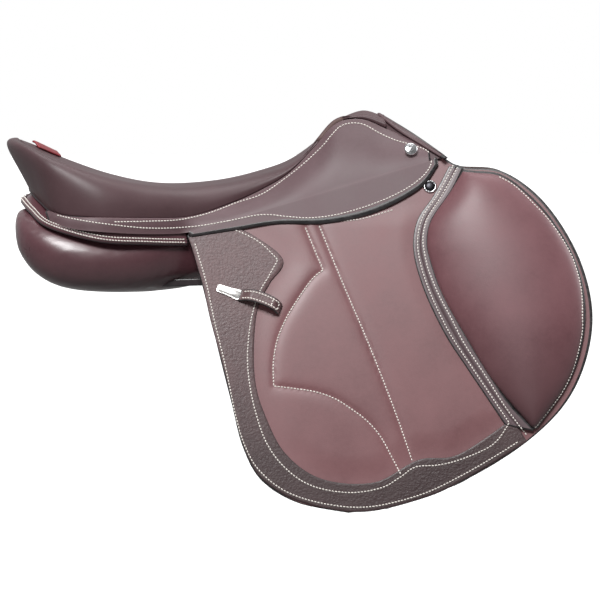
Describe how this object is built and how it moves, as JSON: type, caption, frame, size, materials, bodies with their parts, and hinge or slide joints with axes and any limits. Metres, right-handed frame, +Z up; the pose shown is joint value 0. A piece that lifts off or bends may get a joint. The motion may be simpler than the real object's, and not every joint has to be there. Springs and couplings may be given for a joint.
{
  "type": "english saddle",
  "caption": "Close-contact jumping saddle with forward flaps, padded knee blocks, stuffed panels, stirrup bars and girth straps that lift and swing.",
  "frame": {"origin": "on the centre plane, at the height of the horse's back under the lowest part of the seat", "axes": "+X to the horse's head, +Y to the horse's left, +Z up"},
  "size_m": [0.6793, 0.4084, 0.4592],
  "materials": {
    "smooth_leather": "satin",
    "grained_leather": "pebbled satin",
    "panel_leather": "satin",
    "steel": "brushed",
    "bright_metal": "polished",
    "dark_metal": "satin black with a bright rim",
    "plate_metal": "satin",
    "wood": "varnished laminate",
    "webbing": "woven",
    "foam": "open foam",
    "red_leather": "matte"
  },
  "bodies": {
    "root": {"tree_frame": "wood", "head_plate": "steel", "gullet_plate": "steel", "cantle_plate": "steel", "spring_steel_left": "steel", "spring_steel_right": "steel", "tree_rivets": "steel", "stirrup_bar_left": "steel", "stirrup_bar_right": "steel", "catch_pin_left": "steel", "catch_pin_right": "steel", "seat_webbing": "webbing", "cross_webbing": "webbing", "girth_web_left": "webbing", "girth_web_right": "webbing", "seat_foam": "foam", "seat_cover": "smooth_leather", "seat_welt": "smooth_leather", "cantle_tag": "red_leather", "pommel_facing": "smooth_leather", "skirt_top_left": "smooth_leather", "skirt_top_right": "smooth_leather", "skirt_nail_left": "bright_metal", "skirt_nail_right": "bright_metal", "sweat_flap_left": "smooth_leather", "sweat_flap_right": "smooth_leather", "panel_left": "panel_leather", "panel_right": "panel_leather", "panel_band_left": "smooth_leather", "panel_band_right": "smooth_leather", "panel_bridge_front": "smooth_leather", "panel_bridge_rear": "smooth_leather", "point_pocket_left": "smooth_leather", "point_pocket_right": "smooth_leather"},
    "flap_left": {"flap_left": "smooth_leather", "flap_border_left": "grained_leather", "knee_block_left": "smooth_leather", "flap_stud_left": "dark_metal", "keeper_strap_left": "grained_leather", "keeper_plate_left": "plate_metal"},
    "skirt_left": {"skirt_left": "smooth_leather"},
    "billet_front_left": {"billet_front_left": "grained_leather"},
    "billet_rear_left": {"billet_rear_left": "grained_leather"},
    "bar_catch_left": {"bar_catch_left": "steel"},
    "flap_right": {"flap_right": "smooth_leather", "flap_border_right": "grained_leather", "knee_block_right": "smooth_leather", "flap_stud_right": "dark_metal", "keeper_strap_right": "grained_leather", "keeper_plate_right": "plate_metal"},
    "skirt_right": {"skirt_right": "smooth_leather"},
    "billet_front_right": {"billet_front_right": "grained_leather"},
    "billet_rear_right": {"billet_rear_right": "grained_leather"},
    "bar_catch_right": {"bar_catch_right": "steel"}
  },
  "joints": [
    {"name": "flap_left_lift", "type": "hinge", "parent": "root", "child": "flap_left", "pos_m": [-0.016, 0.1212, 0.06], "axis": [0.952, -0.1191, 0.282], "range_deg": [0, 70]},
    {"name": "skirt_left_lift", "type": "hinge", "parent": "flap_left", "child": "skirt_left", "pos_m": [-0.016, 0.1212, 0.06], "axis": [0.952, -0.1191, 0.282], "range_deg": [0, 55]},
    {"name": "billet_rear_left_swing", "type": "hinge", "parent": "root", "child": "billet_rear_left", "pos_m": [0.062, 0.09917, 0.07], "axis": [0, 0.9543, 0.2987], "range_deg": [-5, 5]},
    {"name": "billet_front_left_swing", "type": "hinge", "parent": "root", "child": "billet_front_left", "pos_m": [0.112, 0.09839, 0.07], "axis": [0, 0.9562, 0.2928], "range_deg": [-5, 5]},
    {"name": "bar_catch_left_open", "type": "hinge", "parent": "root", "child": "bar_catch_left", "pos_m": [0.096, 0.078, 0.101], "axis": [0, -1, 0], "range_deg": [0, 70]},
    {"name": "flap_right_lift", "type": "hinge", "parent": "root", "child": "flap_right", "pos_m": [-0.016, -0.1212, 0.06], "axis": [-0.952, -0.1191, -0.282], "range_deg": [0, 70]},
    {"name": "skirt_right_lift", "type": "hinge", "parent": "flap_right", "child": "skirt_right", "pos_m": [-0.016, -0.1212, 0.06], "axis": [-0.952, -0.1191, -0.282], "range_deg": [0, 55]},
    {"name": "billet_rear_right_swing", "type": "hinge", "parent": "root", "child": "billet_rear_right", "pos_m": [0.062, -0.09917, 0.07], "axis": [0, -0.9543, 0.2987], "range_deg": [-5, 5]},
    {"name": "billet_front_right_swing", "type": "hinge", "parent": "root", "child": "billet_front_right", "pos_m": [0.112, -0.09839, 0.07], "axis": [0, -0.9562, 0.2928], "range_deg": [-5, 5]},
    {"name": "bar_catch_right_open", "type": "hinge", "parent": "root", "child": "bar_catch_right", "pos_m": [0.096, -0.078, 0.101], "axis": [0, -1, 0], "range_deg": [0, 70]}
  ]
}
